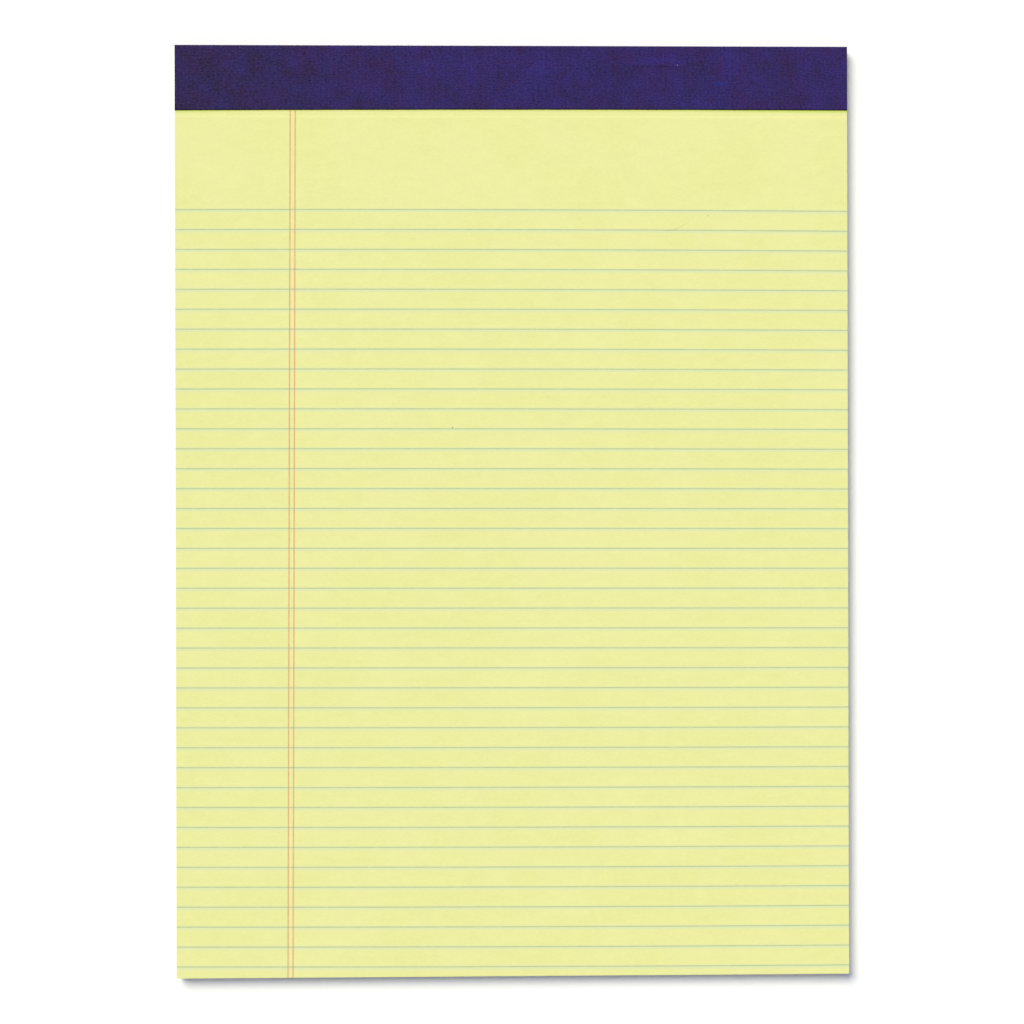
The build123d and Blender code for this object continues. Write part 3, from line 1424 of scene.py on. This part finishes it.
@dataclass
class PageFlecks(SubAssembly):
    """The few specks of dirt, and the one fine hair, that the first page shows."""

    specks: tuple[Fleck, ...] = (
        Fleck(-19.3 * MM, 122.4 * MM, 0.15 * MM, 0.28 * MM),
        Fleck(63.0 * MM, 54.4 * MM, 0.30 * MM, 0.10 * MM),
    )
    hair_start: tuple[float, float] = (48.6 * MM, 59.2 * MM)
    hair_end: tuple[float, float] = (56.2 * MM, 56.7 * MM)
    hair_bow: float = 0.7 * MM
    hair_radius: float = 0.022 * MM
    hair_steps: int = 25
    hair_sides: int = 6
    thickness: float = 0.03 * MM
    points: int = 14

    def speck(self, fleck: Fleck, seed: int) -> tuple[Numbers, Numbers]:
        """A low, ragged-edged lump that lies on the page.

        Args:
            fleck: Its place and size.
            seed: Which ragged edge.

        Returns:
            Its vertices and faces, all triangles.
        """
        random = np.random.default_rng(seed)
        turn = np.arange(self.points) * math.tau / self.points
        reach = random.uniform(0.7, 1.15, self.points)
        x = fleck.across + fleck.half_width * reach * np.cos(turn)
        y = self.pad.head - fleck.from_head + fleck.half_length * reach * np.sin(turn)
        rim = np.stack([x, y, self.pad.page + self.shape.page_rise(x, y)], axis=-1)
        middle = rim.mean(axis=0)
        shoulder = middle + 0.6 * (rim - middle) + (0, 0, 0.8 * self.thickness)
        below, above = middle - (0, 0, self.thickness / 2), middle + (0, 0, self.thickness)
        return closed_tube(np.stack([rim, shoulder]), below, above)

    def hair(self) -> tuple[Numbers, Numbers]:
        """A fine fibre in a shallow bow, as a closed tube: its vertices and faces, all triangles."""
        share = np.linspace(0, 1, self.hair_steps)
        x = between(share, self.hair_start[0], self.hair_end[0])
        from_head = between(share, self.hair_start[1], self.hair_end[1])
        y = self.pad.head - from_head - 4 * self.hair_bow * share * (1 - share)
        line = np.stack([x, y, self.pad.page + self.shape.page_rise(x, y) + self.hair_radius / 2], axis=-1)
        turn = (np.arange(self.hair_sides) * math.tau / self.hair_sides)[None, :, None]
        aside = np.cross((0, 0, 1), np.gradient(line, axis=0))
        aside /= np.linalg.norm(aside, axis=1, keepdims=True)
        taper = self.hair_radius * np.sqrt(np.clip(4 * share * (1 - share), 0.15, 1))
        ring = aside[:, None] * np.cos(turn) + np.array((0, 0, 1)) * np.sin(turn)
        return closed_tube(line[:, None] + taper[:, None, None] * ring, line[0], line[-1])

    def build(self) -> list[Piece]:
        """Builds and dresses the flecks as one piece."""
        parts = [self.speck(fleck, seed) for seed, fleck in enumerate(self.specks)] + [self.hair()]
        offsets = np.cumsum([0] + [len(vertices) for vertices, _ in parts])
        vertices = np.concatenate([vertices for vertices, _ in parts])
        faces = np.concatenate([faces + offset for (_, faces), offset in zip(parts, offsets)])
        piece = new_object("paper_flecks", vertices, faces)
        piece.data.materials.append(FleckFinish().material("fleck_fibre", self.effects))
        return [hand_over(piece)]


# ---- The binding ----


@dataclass
class BindingTape(SubAssembly):
    """The tape folded over the head, drawn down over the right-hand crown, and slightly puckered."""

    back_width: float = 19.0 * MM
    ridge_height: float = 0.08 * MM
    shoulder_height: float = 0.05 * MM
    ridges_shown: tuple[float, float] = (0.22, 1.0)
    edge_bevel: float = 0.35 * MM
    edge_share: float = 0.35
    head_slope: float = 1.5 * MM
    crest_offset: float = 0.15 * MM
    tail_slope: float = 0.34 * MM
    clinch_depth: float = 0.07 * MM
    clinch_length: float = 5.2 * MM
    clinch_end: float = 0.7 * MM
    wire_reach: float = 0.26 * MM
    column_step: float = 1.5 * MM
    crown_step: float = 0.28 * MM
    uneven: float = 0.012 * MM
    puckers: tuple[Triple, ...] = (
        (-48.0 * MM, 1.6 * MM, 0.030 * MM),
        (10.7 * MM, 1.2 * MM, 0.040 * MM),
        (28.0 * MM, 2.2 * MM, 0.020 * MM),
        (69.5 * MM, 1.3 * MM, 0.045 * MM),
    )

    def stations(self) -> tuple[Numbers, Numbers, Numbers]:
        """The line that the tape's inner side follows, from its front edge over the head to its back edge.

        Returns:
            Each station's Y and Z, its outward direction, and its distance from the head on the front leg,
            or 0 elsewhere.
        """
        pad, radius = self.pad, self.pad.fold_radius
        crown = pad.head - pad.stitches[-1].y
        wide = np.linspace(pad.tape_front, radius, 34)
        close = crown + np.linspace(-4.2, 1.4, 42) * MM
        edge = pad.tape_front - np.linspace(0.05, 0.45, 5) * MM
        front = np.unique(np.concatenate([wide, close, edge]))[::-1]
        spine = np.linspace(pad.page - radius, pad.board_bottom + radius, 9)[1:]
        clinched = crown + np.linspace(-1.7, 1.7, 25) * MM
        back = np.unique(np.concatenate([np.linspace(radius, self.back_width, 16)[1:], clinched]))

        def leg(*facts: Any) -> Numbers:
            """One stretch of stations, from facts about them: a number for all, or a number for each."""
            return np.stack(np.broadcast_arrays(*facts), axis=-1)

        def fold(level: float, start: float) -> Numbers:
            """A quarter turn round a centre at one level, from an angle in degrees downwards."""
            y, z = (way(np.radians(start - np.linspace(0, 90, 7)[1:])) for way in (np.cos, np.sin))
            return leg(pad.head - radius + radius * y, level + radius * z, y, z, 0.0)

        legs = (
            leg(pad.head - front, pad.page, 0.0, 1.0, front),
            fold(pad.page - radius, 90),
            leg(pad.head, spine, 1.0, 0.0, 0.0),
            fold(pad.board_bottom + radius, 0),
            leg(pad.head - back, pad.board_bottom, 0.0, -1.0, 0.0),
        )
        rows = np.concatenate(legs)
        return rows[:, :2], rows[:, 2:4], rows[:, 4]

    def columns(self) -> Numbers:
        """The X of each column of the tape's grid, closer together over the stitches."""
        pad = self.pad
        steps = [np.linspace(pad.left, pad.right, round(pad.width / self.column_step))]
        for stitch in pad.stitches:
            span = stitch.right - stitch.left + 6 * MM
            middle = (stitch.left + stitch.right) / 2
            steps.append(middle + np.linspace(-0.5, 0.5, round(span / self.crown_step)) * span)
        merged = np.sort(np.concatenate(steps))
        columns = merged[np.concatenate([[True], np.diff(merged) > 0.05 * MM])]
        columns[-1] = pad.right
        return columns

    def crown(self, x: Numbers, y: Numbers, stitch: Stitch) -> Numbers:
        """How far the tape rises over one crown.

        Args:
            x: Places across the tape.
            y: Places along it.
            stitch: The stitch.

        Returns:
            The rise: gentle towards the head, steep towards the tail, and highest at its right end.
        """
        ends = np.tanh((x - stitch.left) / (0.7 * MM)) - np.tanh((x - stitch.right) / (0.45 * MM))
        rightward = between(smooth_step(x, stitch.left, stitch.right - 2 * MM), 0.35, 1.0)
        aside = y - stitch.y - self.crest_offset
        slope = np.where(aside > 0, self.head_slope, self.tail_slope)
        ridge = self.ridge_height * rightward * ends / 2 * np.exp(-((aside / slope) ** 2))
        corner = hump(x, stitch.right - 0.6 * MM, 0.6 * MM) * hump(aside, 0.0, 0.8 * MM)
        return ridge + self.shoulder_height * corner

    def clinch(self, x: Numbers, y: Numbers, stitch: Stitch) -> Numbers:
        """How far the tape dips into the board beside each clinched end of a stitch, and not over it.

        Args:
            x: Places across the pad, in metres.
            y: Places up the pad, in metres.
            stitch: The stitch.

        Returns:
            The dip at each place, in metres.
        """
        inner, end = self.clinch_length, self.clinch_end
        beside = hump(y, stitch.y, 0.9 * MM) - hump(y, stitch.y, self.wire_reach)
        spans = ((stitch.left, stitch.left + inner), (stitch.right - inner, stitch.right))
        along = sum(smooth_step(x, low - end, low) - smooth_step(x, high, high + end) for low, high in spans)
        return self.clinch_depth * along * beside

    def surface(self) -> tuple[Numbers, Numbers]:
        """The tape's outer and inner sides, each as columns, rows and X, Y, Z."""
        pad, radius = self.pad, self.pad.fold_radius
        line, outward, from_head = self.stations()
        xs = self.columns()
        x = np.repeat(xs[:, None], len(line), axis=1)
        on_front, on_back = from_head > 0, outward[:, 1] < -0.99
        share = np.clip((from_head - radius) / (pad.tape_front - radius), 0, 1)
        y = line[None, :, 0] - share * self.shape.edge_drift(xs)[:, None]
        z = np.broadcast_to(line[None, :, 1], x.shape)
        rise = self.uneven * waves(x, y + z, 9 * MM, seed=31) * smooth_step(from_head, 0.0, 3 * MM)
        for stitch, shown in zip(pad.stitches, self.ridges_shown):
            rise += shown * self.crown(x, y, stitch) * on_front - self.clinch(x, y, stitch) * on_back
        for middle, reach, height in self.puckers:
            fade = smooth_step(from_head, 0.3 * MM, 4 * MM) * (0.55 + 0.45 * np.sin(from_head / (3.4 * MM)))
            rise += height * hump(x, middle + 0.12 * (pad.head - y), reach) * fade
        inner = np.stack([x, y + rise * outward[:, 0], z + rise * outward[:, 1]], axis=-1)
        from_edge = np.where(on_front, pad.tape_front - from_head, self.edge_bevel)
        full = between(np.sqrt(np.clip(from_edge / self.edge_bevel, 0, 1)), self.edge_share, 1.0)
        thick = np.stack([np.zeros(len(line)), *outward.T], axis=-1) * full[:, None]
        return inner + pad.tape_thickness * thick, inner

    def marks(self) -> tuple[Mark, ...]:
        """The tape's marks: patches of uneven dye, painted sheen over two puckers, and painted light and
        shade round the right-hand crown, with a pale fleck painted as a glint where the wire shows.
        """
        pad, wire = self.pad, self.pad.stitches[-1]
        middle = pad.head - pad.tape_front / 2
        # dull serves as dye and as painted shade below, blue as painted sheen and highlight, and lit as a
        # painted glint.
        dull, blue, bright = (0.0262, 0.0165, 0.060), (0.0305, 0.0215, 0.150), (0.0290, 0.0230, 0.190)
        plum, lit = (0.0348, 0.0212, 0.110), (0.4, 0.38, 0.5)

        def mark(x: float, y: float, width: float, length: float, *look: Any) -> Mark:
            """A mark with half its size in millimetres, then its colour, cover, core and ragged share."""
            centre = (x, y, pad.page + pad.tape_thickness)
            return Mark(centre, (width * MM, length * MM, MARK_DEPTH), *look)

        return (
            mark(pad.left + 2 * MM, middle, 85, 90, dull, 0.6),
            mark(pad.right - 2 * MM, middle, 90, 90, plum, 0.6),
            # Painted sheen: bluer, brighter bands over the puckers at 10.7 mm and 69.5 mm.
            mark(10.7 * MM, middle, 4.5, 20, blue, 0.45),
            mark(69.5 * MM, middle, 5.0, 20, blue, 0.55),
            # Painted highlight: a blue band over the crown's lit side, towards the head.
            mark(47.3 * MM, wire.y + 1.9 * MM, 10.5, 1.9, blue, 0.9),
            # Painted shade: a dark line along the crown's shaded side, towards the tail.
            mark(44.5 * MM, wire.y - 0.3 * MM, 11.5, 1.0, dull, 0.5, 0.1, 0.9),
            # Painted shade: a dark spot below the crown's right end.
            mark(wire.right - 0.3 * MM, wire.y - 1.0 * MM, 1.1, 0.6, dull, 0.5, 0.55, 0.7),
            # Painted glint: a pale fleck at the crown's right corner, where the wire shows.
            mark(wire.right - 0.35 * MM, wire.y + 0.3 * MM, 0.2, 0.2, lit, 0.6, 0.55, 0.7),
            mark(67.0 * MM, pad.head - 11.9 * MM, 3.2, 1.0, bright, 0.85, 0.2, 0.7),
        )

    def map_tape(self, mesh: Mesh, outer: Numbers) -> None:
        """Maps the tape as it was before it was folded: its length across the map and its width up it.

        Args:
            mesh: The tape's mesh, whose vertices are the outer side's and then the inner side's.
            outer: The outer side's places.
        """
        columns, rows = outer.shape[:2]
        count = columns * rows
        steps = np.linalg.norm(np.diff(outer[columns // 2], axis=0), axis=1)
        along = np.concatenate([[0], np.cumsum(steps)]) / steps.sum()
        u = np.repeat(self.pad.share_across(outer[:, 0, 0]), rows)
        v = np.tile(along, columns)
        flat = np.stack([u * self.pad.width, v * steps.sum(), np.zeros(count)], axis=-1)
        laid_flat = mesh.attributes.new(FLAT_PLACE, "FLOAT_VECTOR", "POINT")
        laid_flat.data.foreach_set("vector", np.concatenate([flat, flat]).ravel())
        at = Corners(mesh)
        on_outer = np.bincount(at.face, at.vertex < count)
        hidden = (on_outer == 0)[at.face]
        local = at.vertex % count
        across = np.where(hidden, between(u[local], 0.002, 0.012), between(u[local], 0.02, 0.998))
        at.lay_map(across, between(v[local], 0.004, 0.996))

    def build(self) -> list[Piece]:
        """Builds and dresses the tape."""
        outer, inner = self.surface()
        piece = new_object("binding_tape_folded", *closed_skin(outer, inner))
        self.map_tape(piece.data, outer)
        dress(piece, TapeFinish(marks=self.marks()).material("violet_tape", self.effects))
        return [hand_over(piece, "binding_tape")]


@dataclass
class BackingBoard(SubAssembly):
    """The chipboard back: slightly uneven, with edges crushed a little by the trimming knife."""

    step: float = 4 * MM
    edge_steps: tuple[float, ...] = (0.0, 0.12 * MM, 0.3 * MM, 0.7 * MM, 1.6 * MM)
    crush: float = 0.06 * MM
    crush_reach: float = 0.35 * MM
    unevenness: float = 0.02 * MM
    ragged: float = 0.03 * MM

    def lines(self, low: float, high: float) -> Numbers:
        """Grid lines between two edges, closer together near each."""
        edge = np.array(self.edge_steps)
        inside = np.linspace(low + edge[-1], high - edge[-1], round((high - low) / self.step))[1:-1]
        return np.concatenate([low + edge, inside, (high - edge)[::-1]])

    def build(self) -> list[Piece]:
        """Builds and dresses the board."""
        pad = self.pad
        xs, ys = self.lines(pad.left, pad.right), self.lines(pad.tail, pad.head)
        x, y = np.meshgrid(xs, ys, indexing="ij")
        from_side, from_end = np.minimum(x - pad.left, pad.right - x), np.minimum(y - pad.tail, pad.head - y)
        near_edge = np.minimum(from_side, from_end)
        crushed = self.crush * hump(near_edge, 0.0, self.crush_reach)
        uneven = self.unevenness * (1 + waves(x, y, 22 * MM, seed=3)) * smooth_step(near_edge, 0.0, 3 * MM)
        rag = self.ragged * waves(x, y, 1.9 * MM, seed=8)
        on_side, on_end = from_side < 0.01 * MM, from_end < 0.01 * MM
        x = x + np.where(on_side, rag, 0)
        y = y + np.where(on_end, rag, 0)
        under = np.stack([x, y, pad.board_bottom + np.maximum(crushed + uneven, pad.fold_drop(y))], axis=-1)
        upper = np.stack([x, y, pad.board_top - crushed], axis=-1)
        piece = new_object("chipboard_back", *closed_skin(upper, under))
        slab_map(piece.data, Face.UNDER)
        dress(piece, ChipboardFinish().material("grey_chipboard", self.effects), sharp_angle=60.0)
        return [hand_over(piece, "backing_board")]


@dataclass
class WireStitches(SubAssembly):
    """The two wire stitches, whose frame meshes stay and get their finish."""

    def build(self) -> list[Piece]:
        """Gives each stitch its finish."""
        wire = WireFinish().material("galvanised_wire", self.effects)
        pieces = [stitch.piece for stitch in self.pad.stitches]
        for piece in pieces:
            for slot in piece.material_slots:
                slot.material = wire
        return pieces


# ---- The studio ----


@dataclass
class Studio:
    """A plain white table under one broad, high light, and a camera that looks straight down."""

    pad: PadFrame
    table_half_size: float = 3.0
    opening_inset: float = 1.0 * MM
    table_shade: float = 0.85
    table_glow: float = 0.105
    light_lean: tuple[float, float] = (-0.41, 0.545)
    light_spread: float = math.radians(30.3)
    light_strength: float = 3.42
    light_colour: Colour = (1.043, 1.017, 0.851)
    room_strength: float = 0.19
    room_colour: Colour = (0.76, 0.88, 1.68)
    under_strength: float = 0.9
    camera_distance: float = 0.8
    camera_yaw: float = math.radians(1.6)
    camera_roll: float = math.radians(-0.13)
    focal_length: float = 87.63
    sensor_width: float = 36.0
    aim: tuple[float, float] = (-0.34 * MM, -0.38 * MM)

    def table(self) -> None:
        """Builds the table top, open under the pad and clear from below, so that the pad's back shows."""
        pad, half, inset = self.pad, self.table_half_size, self.opening_inset
        xs = (-half, pad.left + inset, pad.right - inset, half)
        ys = (-half, pad.tail + inset, pad.head - inset, half)
        corners = np.array([(x, y, 0.0) for x in xs for y in ys])
        around = np.ones((3, 3), bool)
        around[1, 1] = False
        table = new_object("table", corners, grid_faces(4, 4)[around])
        material = bpy.data.materials.new("white_table")
        material.use_nodes = True
        graph = Graph(material.node_tree)
        nodes = graph.tree.nodes
        values = {"Roughness": 0.9, "Specular IOR Level": 0.0, "Base Color": opaque((self.table_shade,) * 3)}
        values |= {"Emission Color": opaque((1.0, 1.0, 1.0)), "Emission Strength": self.table_glow}
        graph.feed(nodes["Principled BSDF"], values)
        underside = graph.add("ShaderNodeNewGeometry")["Backfacing"]
        shown = Value(graph, nodes["Principled BSDF"].outputs[0])
        clear = graph.add("ShaderNodeBsdfTransparent")[0]
        one_way = graph.add("ShaderNodeMixShader", {0: underside, 1: shown, 2: clear})[0]
        graph.feed(nodes["Material Output"], {"Surface": one_way})
        table.data.materials.append(material)

    def lights(self) -> None:
        """Sets the one broad light."""
        data = bpy.data.lights.new("broad_light", "SUN")
        data.energy = self.light_strength
        data.color = self.light_colour
        data.angle = self.light_spread
        light = bpy.data.objects.new("broad_light", data)
        light.location = (*self.light_lean, 1.0)
        light.rotation_euler = light.location.to_track_quat("Z", "Y").to_euler()
        bpy.context.scene.collection.objects.link(light)

    def room(self) -> None:
        """Sets the room's even light, a white light from under the table, and the white backdrop."""
        world = bpy.data.worlds.new("room")
        world.use_nodes = True
        graph = Graph(world.node_tree)
        height = graph.parts(graph.add("ShaderNodeTexCoord")["Generated"])["Z"]
        seen = graph.add("ShaderNodeLightPath")["Is Camera Ray"]
        white = (1.0, 1.0, 1.0)
        lit = ((self.room_colour, self.room_strength), (white, self.under_strength), (white, 1.0))
        inputs = [{"Color": opaque(colour), "Strength": strength} for colour, strength in lit]
        above, below, backdrop = (graph.add("ShaderNodeBackground", values)[0] for values in inputs)
        under_table = graph.math("LESS_THAN", height, 0.0)
        light = graph.add("ShaderNodeMixShader", {0: under_table, 1: above, 2: below})[0]
        shown = graph.add("ShaderNodeMixShader", {0: seen, 1: light, 2: backdrop})[0]
        graph.feed(graph.tree.nodes["World Output"], {"Surface": shown})
        bpy.context.scene.world = world

    def camera(self) -> None:
        """Sets the camera above the page, turned slightly so that the left side is the nearer one."""
        data = bpy.data.cameras.new("camera")
        data.lens = self.focal_length
        data.sensor_width = self.sensor_width
        data.clip_start = 0.01
        camera = bpy.data.objects.new("camera", data)
        turned = Matrix.Rotation(-self.camera_yaw, 4, "Y") @ Matrix.Rotation(self.camera_roll, 4, "Z")
        target, back = Vector((*self.aim, self.pad.page)), Vector((0, 0, self.camera_distance))
        camera.matrix_world = Matrix.Translation(target) @ turned @ Matrix.Translation(back)
        bpy.context.scene.collection.objects.link(camera)
        bpy.context.scene.camera = camera

    def build(self) -> None:
        """Builds the whole studio."""
        self.table()
        self.lights()
        self.room()
        self.camera()
        bpy.context.scene.view_settings.view_transform = "Standard"


# ---- All of it ----


def main() -> None:
    """Builds the pad and its studio around the frame, and reports each piece."""
    logging.basicConfig(level=logging.INFO, format="%(name)s: %(message)s")
    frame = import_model()
    pad = PadFrame.read(frame["nodes"])
    shared = (pad, PageShape(pad), Effects())
    ruling = Ruling(*shared)
    sheets = SheetStack(*shared, stains=ruling.stains)
    others = (PageFlecks(*shared), BindingTape(*shared), BackingBoard(*shared), WireStitches(*shared))
    pieces = [piece for assembly in (sheets, ruling, *others) for piece in assembly.build()]
    Studio(pad).build()
    for piece in pieces:
        piece.data.calc_loop_triangles()
        LOG.info("%s: %d triangles", piece.name, len(piece.data.loop_triangles))


if __name__ == "__main__":
    main()
